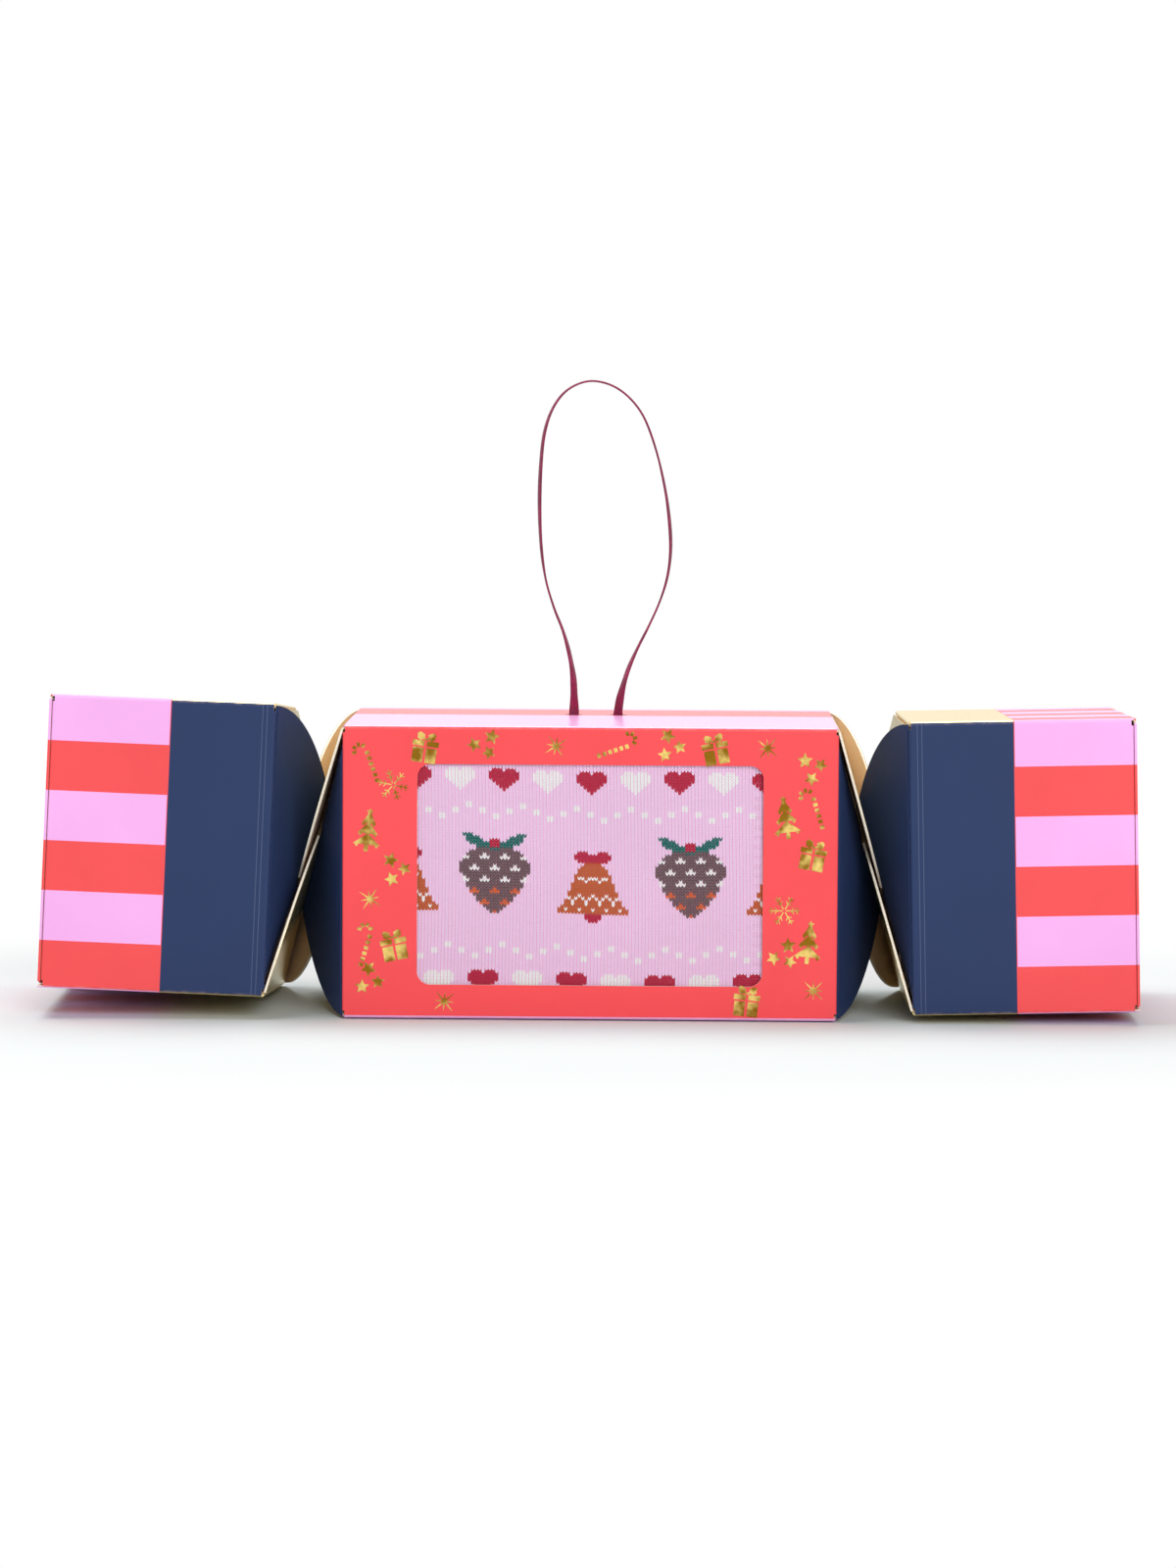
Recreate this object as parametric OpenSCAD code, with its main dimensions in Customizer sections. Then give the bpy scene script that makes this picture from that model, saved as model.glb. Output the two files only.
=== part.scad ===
// Square gift box cracker: one printed card tube with a windowed centre box, two twisted
// necks and two tuck-lid ends, a pair of knitted socks behind the window and a ribbon loop.
// +X runs along the tube, -Y is the windowed front, +Z is up. The origin is on the floor
// under the middle of the centre box.

/* [Centre box] */
// Length of the centre box between its neck creases
centre_len = 120; // [100:1:150]
// Outer width and height of the square tube
side = 72; // [62:1:84]
// Thickness of the folded card
board = 0.6; // [0.45:0.05:0.8]
// Outer radius of the tube's long folds
fold_r = 1; // [0.9:0.1:2]
// Width of the glue flap inside the tube
glue_w = 14; // [8:1:20]

/* [Window] */
// Length of the window
window_len = 84.6; // [60:0.2:90]
// Height of the window
window_h = 54.2; // [40:0.2:54.4]
// Corner radius of the window
window_r = 3.3; // [2:0.1:8]
// How far the window's middle lies above the middle of the front
window_lift = -0.5; // [-2:0.1:1]

/* [Necks] */
// Distance between the neck creases along the axis when the neck is twisted shut
neck_gap = 19; // [16:0.5:26]
// Radius of each neck flap's free edge, a single arc from its hinge to its diagonal crease
leaf_r = 54; // [48:1:66]
// How far the left end stops short of a quarter turn
left_lag_angle = 4.2; // [3.5:0.1:7]
// Rise of the left end's outer edge
left_tilt = 2.1; // [0:0.1:2.3]
// How far the right end stops short of a quarter turn
right_lag_angle = 1.3; // [1:0.1:5]
// Rise of the right end's outer edge
right_tilt = 1.4; // [0:0.1:1.5]

/* [Ends] */
// Length of each end from its neck crease to its lid
end_len = 55; // [45:1:75]
// Length of the tongue that tucks in behind the lid
tongue_len = 16; // [10:1:20]
// Radius of the tongue's corners
tongue_r = 7; // [3:1:9]
// Length of the dust flaps under the lid
dust_len = 30; // [18:1:32]

/* [Ribbon] */
// Width of the ribbon
ribbon_w = 2.6; // [2:0.1:3.6]
// Thickness of the ribbon's folded band
ribbon_t = 0.8; // [0.6:0.1:1.2]
// Radius of the two punched ribbon holes
hole_r = 2.3; // [2.1:0.1:3]
// Radius of the knots that hold the ribbon under the top
knot_r = 3.3; // [3.1:0.1:4.5]
// Height of the knots
knot_h = 4; // [3:0.5:5]

/* [Socks] */
// From each end of the folded socks to the neck crease beside it
sock_gap = 7; // [5.5:0.5:15]
// Height of the folded socks
sock_h = 65; // [58:1:66]
// Thickness of each folded sock
sock_t = 4.6; // [3:0.2:6]
// Corner radius of the folded socks
sock_r = 7; // [3:1:12]
// Height of the lip at the back of the sock card
lip_h = 24; // [10:1:40]

/* [Hidden] */
$fn = 96;

// Printed colours
pink = [0.99, 0.70, 0.95];
coral = [0.98, 0.36, 0.38];
navy = [0.20, 0.25, 0.42];
gold = [0.80, 0.62, 0.28];
plain = [0.93, 0.90, 0.84];
knit_pink = [0.93, 0.70, 0.86];
burgundy = [0.58, 0.15, 0.38];

// Clearances
seam = 0.05;          // between two panels that meet at a fold or a crease
slip = 0.3;           // under a loose piece, and round the tongue
fin = 0.3;            // from the ideal fold plane to the inner face of a neck flap
overrun = 1;          // of every cut
bead_end = 2 * board; // bare stretch at each end of a crease's bead

// Sides and corners are numbered round the tube as the neck turns: front, bottom, back, top.
// Corner i is where side i - 1 meets side i.
FRONT = 0;
BOTTOM = 1;
BACK = 2;
TOP = 3;
CORNER_SHARES = [[-0.5, 0.5], [-0.5, -0.5], [0.5, -0.5], [0.5, 0.5]];
inner = side - 2 * board; // inside width, on which every crease lies
outer_half = side / 2;
inner_half = inner / 2;

// Pose of an end: degrees short of the quarter turn, degrees of tilt, and the rise of its axis
// that sets its lowest fold on the floor
function resting(short, tilt) = [short, tilt, outer_half * (sin(short) + cos(short) - 1)];
LEFT = resting(left_lag_angle, left_tilt);
RIGHT = resting(right_lag_angle, right_tilt);

// Place of each wall's outer edge, measured from the neck crease of an end
lid_face = end_len - board;           // inner face of the closed lid
dust_face = lid_face - board - 2 * seam; // inner face of the closed dust flaps
dust_edge_in = board + slip + 2 * board; // from the inside of the bottom to a dust flap
dust_taper = dust_len / 5;            // draw-in of the dust flap's long edges
end_glue_back = dust_len / 4;         // from the dust flap's crease to the glue flap
glue_set = 2 * board;                 // from a neck crease to a glue flap

// Contents, measured from the inside of the front
sock_face = 2 * slip;                 // from the front panel to the front sock
card_face = sock_face + sock_t + slip; // from the front panel to the card
foot_z = 2 * board + slip;            // underside of the card's foot, on the glue flap
sock_z = foot_z + board + slip;       // underside of the socks
card_top_share = 0.94;                // height of the card's face as a share of the sock's
sock_len = centre_len - 2 * sock_gap;
card_len = sock_len + 2 * board;

// Ribbon holes in the top
hole_step = 11.2;                     // between the two holes
hole_shift = 0.7;                     // of their middle, from the middle of the box
hole_y = 11;                          // behind the middle of the top

// Route of the ribbon loop as [x, z] from the middle of the holes, at the top's outer face
ribbon_route = [
    [-5.6, -0.9], [-5.6, 4], [-5.9, 10], [-7, 16], [-8.6, 21.5], [-10.8, 27], [-12.9, 34],
    [-14.1, 42], [-14.6, 52], [-14.4, 62], [-13.5, 71], [-11.3, 77.5], [-7.7, 82], [-2.5, 84.2],
    [2.9, 83.4], [7.6, 80.4], [11.5, 75.4], [14.4, 68], [16.5, 60], [17.9, 52], [18.6, 43],
    [17.9, 35.5], [16, 29], [13.2, 22.6], [10.4, 17], [8, 11.4], [6.3, 5.4], [5.6, 1],
    [5.6, -0.9]
];
// Quarter turns of the band, evenly along its way
ribbon_turn_shares = [0.15, 0.85, 1, 1.2, 1.08, 1, 0.96, 1.15, 1, 0.85, 0.15];
ribbon_sides = 8;

function unit(v) = v / norm(v);
function step(i, n = 1) = (i + n + 4) % 4;

// A corner of the tube's inside in the section plane
function corner(i) = [0, CORNER_SHARES[i][0] * inner, CORNER_SHARES[i][1] * inner];

// Where an end's pose takes a point: the origin of both is the centre box's axis at its crease
function posed(p, pose) =
    let (a = -pose[0], b = pose[1],
         y = p[1] * cos(a) - p[2] * sin(a), z = p[1] * sin(a) + p[2] * cos(a))
    [p[0] * cos(b) + z * sin(b) - neck_gap, y, -p[0] * sin(b) + z * cos(b) + pose[2]];

// After the quarter turn, corner i of the tube is at the end's next corner
function end_corner(i, pose) = posed(corner(step(i)), pose);

// Mirrors the left half for the right
module on_side(pose) {
    if (pose == LEFT) children();
    else mirror([1, 0, 0]) children();
}

// From the frame of a neck, at the crease of the centre box, to the part's frame
module at_neck(pose) {
    on_side(pose) translate([-centre_len / 2, 0, outer_half]) children();
}

// From the frame of an end, at its own neck crease, to the part's frame
module at_end(pose) {
    at_neck(pose) translate([-neck_gap, 0, pose[2]]) rotate([-pose[0], pose[1], 0]) children();
}

// Section of the tube: a square with rounded folds
module tube_section() {
    flat = side - 2 * fold_r;
    difference() {
        union() {
            square([side, flat], center = true);
            square([flat, side], center = true);
            for (x = [-flat / 2, flat / 2], y = [-flat / 2, flat / 2])
                translate([x, y]) circle(fold_r);
        }
        square(inner, center = true);
    }
}

// One wall of the tube, from x = low to x = high, mitred at its two long folds
module wall(which, low, high) {
    turn = [180, 270, 0, 90][which];
    translate([low, 0, 0]) rotate([90, 0, 90])
        linear_extrude(high - low)
            rotate(turn) intersection() {
                tube_section();
                polygon([[seam, 0], [side + seam, -side], [side + seam, side]]);
            }
}

// Half-round bead of a scored crease, across a wall at x = 0, swelling towards -X
module crease_bead(which) {
    len = inner - 2 * bead_end;
    rotate([[90, 0, 0], [180, 0, 0], [270, 0, 0], [0, 0, 0]][which])
        translate([0, 0, inner_half]) rotate([90, 0, 0])
            intersection() {
                cylinder(r = board, h = len, center = true);
                translate([-board, 0, 0]) cube([2 * board, 2 * board, len], center = true);
            }
}

// A wall of the centre box with a bead at both neck creases
module centre_wall(which) {
    translate([0, 0, outer_half]) {
        wall(which, -centre_len / 2, centre_len / 2);
        for (m = [0, 1]) mirror([m, 0, 0])
            translate([-centre_len / 2, 0, 0]) crease_bead(which);
    }
}

module front_panel() {
    color(coral) difference() {
        centre_wall(FRONT);
        translate([0, -outer_half + board + overrun, outer_half + window_lift])
            rotate([90, 0, 0]) linear_extrude(board + 2 * overrun) window_outline();
    }
}

module window_outline() {
    long = window_len - 2 * window_r;
    tall = window_h - 2 * window_r;
    square([window_len, tall], center = true);
    square([long, window_h], center = true);
    for (x = [-long / 2, long / 2], y = [-tall / 2, tall / 2])
        translate([x, y]) circle(window_r);
}

module top_panel() {
    color(pink) difference() {
        centre_wall(TOP);
        for (x = [-hole_step / 2, hole_step / 2])
            translate([hole_shift + x, hole_y, side - board - overrun])
                cylinder(r = hole_r, h = board + 2 * overrun);
    }
}

module back_panel() {
    color(coral) centre_wall(BACK);
}

module bottom_panel() {
    color(pink) centre_wall(BOTTOM);
}

// The glue flap folds in from the back over the bottom
module glue_flap() {
    reach = centre_len / 2 - glue_set;
    color(plain) translate([-reach, inner_half - glue_w, board])
        cube([2 * reach, glue_w - seam, board]);
}

// The same flap on an end, where the turned tube has brought it to the back, under the top
module end_glue_flap(pose) {
    low = dust_face - end_glue_back;
    color(plain) at_end(pose)
        translate([-low, inner_half - board, inner_half - glue_w])
            cube([low - glue_set, board, glue_w - seam]);
}

// A neck flap as cut: a right triangle between its hinge crease, from the origin to ridge_end,
// and its diagonal crease, along +X, rounded off by an arc that starts at the tube's corner
module flap_outline(ridge_end, diagonal) {
    hinge = board + seam;
    difference() {
        intersection() {
            polygon([[0, 0], [diagonal, 0], ridge_end]);
            translate(ridge_end * (1 - leaf_r / norm(ridge_end))) circle(leaf_r);
        }
        rotate(atan2(ridge_end[1], ridge_end[0]))
            translate([-overrun, -hinge]) square([side + 2 * overrun, side]);
    }
}

// The angle between the two flaps of one side at their diagonal crease from p to r
function crease_angle(p, r, a, b) =
    let (d = unit(r - p), m = unit((a - p) - ((a - p) * d) * d),
         n = unit((b - p) - ((b - p) * d) * d))
    acos(m * n);

// A neck flap: hinged from p to q, its diagonal crease from p to r, mitred there against
// the other flap of its side, whose ridge corner is at twin. Its printed face is +Z in its
// own frame
module neck_flap(p, q, r, twin) {
    along = unit(r - p);
    away = unit((q - p) - ((q - p) * along) * along);
    up = cross(along, away);
    half_angle = crease_angle(p, r, q, twin) / 2;
    multmatrix([[along[0], away[0], up[0], p[0]],
                [along[1], away[1], up[1], p[1]],
                [along[2], away[2], up[2], p[2]]])
        difference() {
            translate([0, 0, fin]) linear_extrude(board)
                flap_outline([(q - p) * along, (q - p) * away], norm(r - p));
            rotate([half_angle, 0, 0])
                translate([-side, -side, -seam]) cube([4 * side, 2 * side, side]);
        }
}

// Flap on the centre box's crease
module inner_flap(pose, which) {
    p = corner(which);
    q = corner(step(which));
    r = end_corner(step(which), pose);
    color(which == FRONT || which == BACK ? navy : gold)
        at_neck(pose) neck_flap(p, q, r, end_corner(which, pose));
}

// Flap on the end's crease: it belongs to the side of the tube that the turn brought there
module outer_flap(pose, which) {
    from = step(which, -1);
    p = end_corner(step(from), pose);
    q = end_corner(from, pose);
    r = corner(from);
    color(which == FRONT || which == BACK ? navy : gold)
        at_neck(pose) neck_flap(p, q, r, corner(step(from)));
}

// A wall of an end: beads at the neck crease and, where something folds over it, at the lid
module end_wall(pose, which) {
    reach = which == TOP ? lid_face : which == BOTTOM ? end_len : dust_face;
    color(which == FRONT || which == BACK ? navy : gold) at_end(pose) {
        wall(which, -reach, 0);
        mirror([1, 0, 0]) crease_bead(which);
        if (which != BOTTOM) translate([-reach, 0, 0]) crease_bead(which);
    }
}

// Height of the tongue's crease and of the lid's free edge
tongue_z = -inner_half + slip + board;

// The lid folds down from the top and closes the end
module lid(pose) {
    start = inner_half - board - seam;
    color(coral) at_end(pose) {
        translate([-end_len, -outer_half + seam, tongue_z])
            cube([board, side - 2 * seam, start - tongue_z]);
        translate([-lid_face, 0, tongue_z]) rotate([90, 0, 0])
            intersection() {
                cylinder(r = board, h = side - 2 * fold_r - 2 * bead_end, center = true);
                translate([-board, -board, 0]) cube([2 * board, 2 * board, side], center = true);
            }
    }
}

module lid_tongue(pose) {
    half = inner_half - bead_end;
    start = board + seam;
    color(plain) at_end(pose)
        translate([-lid_face, 0, tongue_z - board]) linear_extrude(board) {
            translate([start, -half]) square([tongue_len - tongue_r - start, 2 * half]);
            translate([start, -half + tongue_r])
                square([tongue_len - start, 2 * (half - tongue_r)]);
            for (y = [-half + tongue_r, half - tongue_r])
                translate([tongue_len - tongue_r, y]) circle(tongue_r);
        }
}

// A dust flap folds in from the front or the back, under the lid
module dust_flap(pose, which) {
    start = board + seam;
    low = -inner_half + dust_edge_in;
    high = inner_half - bead_end;
    color(plain) at_end(pose) mirror([0, which == BACK ? 1 : 0, 0])
        translate([-dust_face - board, -inner_half, 0]) rotate([90, 0, 90])
            linear_extrude(board) polygon([
                [start, low], [dust_len, low + dust_taper],
                [dust_len, high - 2 * dust_taper], [dust_len / 2, high], [start, high]
            ]);
}

// A folded sock lies flat: a plate with round corners and soft edges
module folded_sock(y) {
    edge = sock_t / 2;
    long = sock_len - 2 * sock_r;
    tall = sock_h - 2 * sock_r;
    color(knit_pink) translate([0, y + edge, sock_z + sock_h / 2]) rotate([90, 0, 0])
        hull() for (x = [-long / 2, long / 2], z = [-tall / 2, tall / 2])
            translate([x, z, 0]) rotate_extrude($fn = 32)
                translate([sock_r - edge, 0]) intersection() {
                    circle(edge, $fn = 16);
                    translate([0, -edge]) square([edge, sock_t]);
                }
}

module sock_front() {
    folded_sock(-inner_half + sock_face);
}

module sock_rear() {
    folded_sock(-inner_half + card_face + board + slip);
}

// The card that holds the socks to the window: a face, a foot on the bottom and a back lip
module sock_card() {
    front = -inner_half + card_face;
    back = inner_half - slip;
    top = sock_z + sock_h * card_top_share;
    color(plain) translate([-card_len / 2, 0, 0]) rotate([90, 0, 90]) linear_extrude(card_len) {
        translate([front, foot_z]) square([board, top - foot_z]);
        translate([front, foot_z]) square([back - front, board]);
        translate([back - board, foot_z]) square([board, lip_h]);
    }
}

// Ribbon: a soft band swept along its route
function route_point(i) = [hole_shift + ribbon_route[i][0], hole_y, side + ribbon_route[i][1]];
function route_way(i) =
    let (last = len(ribbon_route) - 1)
    i == 0 || i == last ? [0, 0, i == 0 ? 1 : -1]
    : unit(route_point(i + 1) - route_point(i - 1));
function route_turn(i) =
    let (last = len(ribbon_route) - 1, n = len(ribbon_turn_shares) - 1,
         t = n * i / last, k = min(floor(t), n - 1), f = (1 - cos(180 * (t - k))) / 2)
    90 * ((1 - f) * ribbon_turn_shares[k] + f * ribbon_turn_shares[k + 1]);
function band_ring(i) =
    let (p = route_point(i), w = route_way(i), b = [0, 1, 0], s = cross(b, w), a = route_turn(i))
    [for (k = [0 : ribbon_sides - 1])
        let (q = 360 * (k + 0.5) / ribbon_sides,
             u = ribbon_w / 2 * cos(q), v = ribbon_t / 2 * sin(q))
        p + (u * cos(a) - v * sin(a)) * s + (u * sin(a) + v * cos(a)) * b];

module ribbon_loop() {
    rings = len(ribbon_route);
    points = [for (i = [0 : rings - 1]) each band_ring(i)];
    function at(i, k) = i * ribbon_sides + k % ribbon_sides;
    walls = [for (i = [0 : rings - 2], k = [0 : ribbon_sides - 1])
        each [[at(i, k), at(i, k + 1), at(i + 1, k + 1)], [at(i, k), at(i + 1, k + 1), at(i + 1, k)]]];
    ends = concat(
        [for (k = [1 : ribbon_sides - 2]) [0, k + 1, k]],
        [for (k = [1 : ribbon_sides - 2]) [at(rings - 1, 0), at(rings - 1, k), at(rings - 1, k + 1)]]);
    color(burgundy) polyhedron(points, concat(walls, ends));
}

// A knot under a ribbon hole, too wide to slip through
module ribbon_knot(x) {
    waist = knot_r - knot_h / 4;
    top = ribbon_route[0][1];
    color(burgundy) translate([hole_shift + x, hole_y, side + top - knot_h])
        rotate_extrude() {
            square([waist, knot_h]);
            translate([waist, knot_h / 2]) scale([1, 2]) circle(knot_h / 4);
        }
}

front_panel();
top_panel();
back_panel();
bottom_panel();
glue_flap();
sock_front();
sock_rear();
sock_card();
ribbon_loop();
ribbon_knot(-hole_step / 2);  // ribbon_knot_left
ribbon_knot(hole_step / 2);  // ribbon_knot_right
inner_flap(LEFT, FRONT);  // left_inner_flap_front
inner_flap(LEFT, BOTTOM);  // left_inner_flap_bottom
inner_flap(LEFT, BACK);  // left_inner_flap_back
inner_flap(LEFT, TOP);  // left_inner_flap_top
outer_flap(LEFT, FRONT);  // left_outer_flap_front
outer_flap(LEFT, BOTTOM);  // left_outer_flap_bottom
outer_flap(LEFT, BACK);  // left_outer_flap_back
outer_flap(LEFT, TOP);  // left_outer_flap_top
end_wall(LEFT, FRONT);  // left_end_front
end_wall(LEFT, BOTTOM);  // left_end_bottom
end_wall(LEFT, BACK);  // left_end_back
end_wall(LEFT, TOP);  // left_end_top
end_glue_flap(LEFT);  // left_end_glue_flap
lid(LEFT);  // left_lid
lid_tongue(LEFT);  // left_lid_tongue
dust_flap(LEFT, FRONT);  // left_dust_flap_front
dust_flap(LEFT, BACK);  // left_dust_flap_back
inner_flap(RIGHT, FRONT);  // right_inner_flap_front
inner_flap(RIGHT, BOTTOM);  // right_inner_flap_bottom
inner_flap(RIGHT, BACK);  // right_inner_flap_back
inner_flap(RIGHT, TOP);  // right_inner_flap_top
outer_flap(RIGHT, FRONT);  // right_outer_flap_front
outer_flap(RIGHT, BOTTOM);  // right_outer_flap_bottom
outer_flap(RIGHT, BACK);  // right_outer_flap_back
outer_flap(RIGHT, TOP);  // right_outer_flap_top
end_wall(RIGHT, FRONT);  // right_end_front
end_wall(RIGHT, BOTTOM);  // right_end_bottom
end_wall(RIGHT, BACK);  // right_end_back
end_wall(RIGHT, TOP);  // right_end_top
end_glue_flap(RIGHT);  // right_end_glue_flap
lid(RIGHT);  // right_lid
lid_tongue(RIGHT);  // right_lid_tongue
dust_flap(RIGHT, FRONT);  // right_dust_flap_front
dust_flap(RIGHT, BACK);  // right_dust_flap_back
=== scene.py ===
import math
import bmesh
import bpy
import numpy as np
from mathutils import Matrix, Vector


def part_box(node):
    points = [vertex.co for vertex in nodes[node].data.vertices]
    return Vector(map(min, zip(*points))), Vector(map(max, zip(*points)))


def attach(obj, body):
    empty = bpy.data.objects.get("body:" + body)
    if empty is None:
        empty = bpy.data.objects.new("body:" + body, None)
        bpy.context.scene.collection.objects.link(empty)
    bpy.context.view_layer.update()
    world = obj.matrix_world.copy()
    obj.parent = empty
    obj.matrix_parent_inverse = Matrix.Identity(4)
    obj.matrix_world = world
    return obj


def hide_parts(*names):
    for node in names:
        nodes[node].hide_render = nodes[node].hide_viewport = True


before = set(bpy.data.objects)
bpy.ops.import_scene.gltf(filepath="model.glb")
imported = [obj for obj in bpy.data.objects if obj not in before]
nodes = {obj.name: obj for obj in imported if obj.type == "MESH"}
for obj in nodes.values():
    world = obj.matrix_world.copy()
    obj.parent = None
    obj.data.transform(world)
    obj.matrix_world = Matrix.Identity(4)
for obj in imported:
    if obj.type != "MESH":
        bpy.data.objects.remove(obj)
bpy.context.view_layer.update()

scene = bpy.context.scene
MM = 0.001

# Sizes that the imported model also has, in millimetres
CENTRE_LEN = 120
SIDE = 72
BOARD = 0.6
FOLD_R = 1.0
FIN = 0.3
NECK_GAP = 19
END_LEN = 55
BAND = 25
STRIPE = 12.25
STRIPE_START = 0.9
INNER = SIDE - 2 * BOARD
SIDES = ("front", "bottom", "back", "top")


def resting(lag, tilt):
    """An end's pose: lag and tilt in degrees, and the rise of its axis."""
    a = math.radians(lag)
    return lag, tilt, SIDE / 2 * (math.sin(a) + math.cos(a) - 1)


POSES = {"left": resting(4.2, 2.1), "right": resting(1.3, 1.4)}


def srgb(r, g, b):
    """A colour as seen on a screen, as the shader wants it."""
    def one(v):
        v /= 255
        return v / 12.92 if v <= 0.04045 else ((v + 0.055) / 1.055) ** 2.4
    return one(r), one(g), one(b), 1.0


PINK = srgb(250, 184, 236)
CORAL = srgb(252, 84, 89)
STRIPE_RED = srgb(250, 86, 88)
STRIPE_PINK = srgb(251, 182, 243)
NAVY = srgb(42, 58, 98)
GOLD = srgb(232, 210, 148)
BOARD_IN = srgb(240, 210, 180)
BOARD_EDGE = srgb(250, 243, 230)


# Camera, fitted to the corners of the box and of its ends in the photograph
PHOTO_WIDE = 1200
FOCAL_PX = 5144
SENSOR = 36
CAMERA_AT = (16.9, -1263.5, 151.7)
PITCH, YAW, ROLL = math.radians(4.366), math.radians(-0.816), math.radians(0.34)


def add_camera():
    data = bpy.data.cameras.new("camera")
    data.sensor_fit = "HORIZONTAL"
    data.sensor_width = SENSOR
    data.lens = FOCAL_PX * SENSOR / PHOTO_WIDE
    data.clip_start = 0.05
    camera = bpy.data.objects.new("camera", data)
    scene.collection.objects.link(camera)
    ahead = Vector((math.sin(YAW) * math.cos(PITCH), math.cos(YAW) * math.cos(PITCH),
                    -math.sin(PITCH)))
    level = Vector((math.cos(YAW), -math.sin(YAW), 0))
    upright = level.cross(ahead)
    right = math.cos(ROLL) * level + math.sin(ROLL) * upright
    up = -math.sin(ROLL) * level + math.cos(ROLL) * upright
    turn = Matrix((right, up, -ahead)).transposed().to_4x4()
    turn.translation = Vector(CAMERA_AT) * MM
    camera.matrix_world = turn
    scene.camera = camera


add_camera()


# Material nodes
class Finish:
    """A material and short ways to wire it."""

    def __init__(self, name, rough=0.5, metal=0.0, sheen=0.0):
        self.material = bpy.data.materials.new(name)
        self.material.use_nodes = True
        self.tree = self.material.node_tree
        self.shader = self.tree.nodes["Principled BSDF"]
        self.set("Roughness", rough)
        self.set("Metallic", metal)
        self.set("Sheen Weight", sheen)

    def set(self, socket, value):
        self.shader.inputs[socket].default_value = value

    def link(self, source, target):
        if isinstance(source, bpy.types.NodeSocket):
            self.tree.links.new(source, target)
        else:
            target.default_value = source

    def node(self, kind, **settings):
        made = self.tree.nodes.new(kind)
        for key, value in settings.items():
            setattr(made, key, value)
        return made

    def calc(self, operation, *values):
        made = self.node("ShaderNodeMath", operation=operation)
        for socket, value in zip(made.inputs, values):
            self.link(value, socket)
        return made.outputs[0]

    def above(self, value, limit):
        return self.calc("GREATER_THAN", value, limit)

    def below(self, value, limit):
        return self.calc("LESS_THAN", value, limit)

    def both(self, a, b):
        return self.calc("MULTIPLY", a, b)

    def either(self, a, b):
        return self.calc("MAXIMUM", a, b)

    def soft(self, value, low, high):
        made = self.node("ShaderNodeMapRange", interpolation_type="SMOOTHSTEP")
        for socket, v in zip(made.inputs, (value, low, high, 0.0, 1.0)):
            self.link(v, socket)
        return made.outputs[0]

    def span(self, value, low, high, out_low, out_high):
        made = self.node("ShaderNodeMapRange")
        for socket, v in zip(made.inputs, (value, low, high, out_low, out_high)):
            self.link(v, socket)
        return made.outputs[0]

    def mix(self, share, a, b, blend="MIX"):
        made = self.node("ShaderNodeMix", data_type="RGBA", blend_type=blend)
        self.link(share, made.inputs[0])
        self.link(a, made.inputs[6])
        self.link(b, made.inputs[7])
        return made.outputs[2]

    def plain(self, colour):
        """One colour as a socket."""
        made = self.node("ShaderNodeRGB")
        made.outputs[0].default_value = colour
        return made.outputs[0]

    def place(self, loc=(0, 0, 0), turn=(0, 0, 0), flip=1):
        """Object coordinates in millimetres in a turned frame, split into x, y and z."""
        coords = self.node("ShaderNodeTexCoord")
        mapping = self.node("ShaderNodeMapping", vector_type="TEXTURE")
        mapping.inputs["Location"].default_value = [v * MM for v in loc]
        mapping.inputs["Rotation"].default_value = turn
        mapping.inputs["Scale"].default_value = (flip * MM, MM, MM)
        self.link(coords.outputs["Object"], mapping.inputs["Vector"])
        split = self.node("ShaderNodeSeparateXYZ")
        self.link(mapping.outputs[0], split.inputs[0])
        self.vector = mapping.outputs[0]
        return split.outputs

    def noise(self, scale, detail=3.0, rough=0.5, vector=None):
        made = self.node("ShaderNodeTexNoise")
        made.inputs["Scale"].default_value = scale
        made.inputs["Detail"].default_value = detail
        made.inputs["Roughness"].default_value = rough
        self.link(vector or self.vector, made.inputs["Vector"])
        return made.outputs["Fac"]

    def squeeze(self, x, y, z):
        """The placed coordinates stretched along each axis."""
        made = self.node("ShaderNodeVectorMath", operation="MULTIPLY")
        self.link(self.vector, made.inputs[0])
        made.inputs[1].default_value = (x, y, z)
        return made.outputs[0]

    def bump(self, height, depth_mm, strength):
        made = self.node("ShaderNodeBump")
        made.inputs["Strength"].default_value = strength
        made.inputs["Distance"].default_value = depth_mm * MM
        self.link(height, made.inputs["Height"])
        self.link(made.outputs["Normal"], self.shader.inputs["Normal"])

    def colour(self, value):
        self.link(value, self.shader.inputs["Base Color"])

    def done(self, obj):
        obj.data.materials.clear()
        obj.data.materials.append(self.material)
        return self


RAW_ROUGH = 0.88


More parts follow.
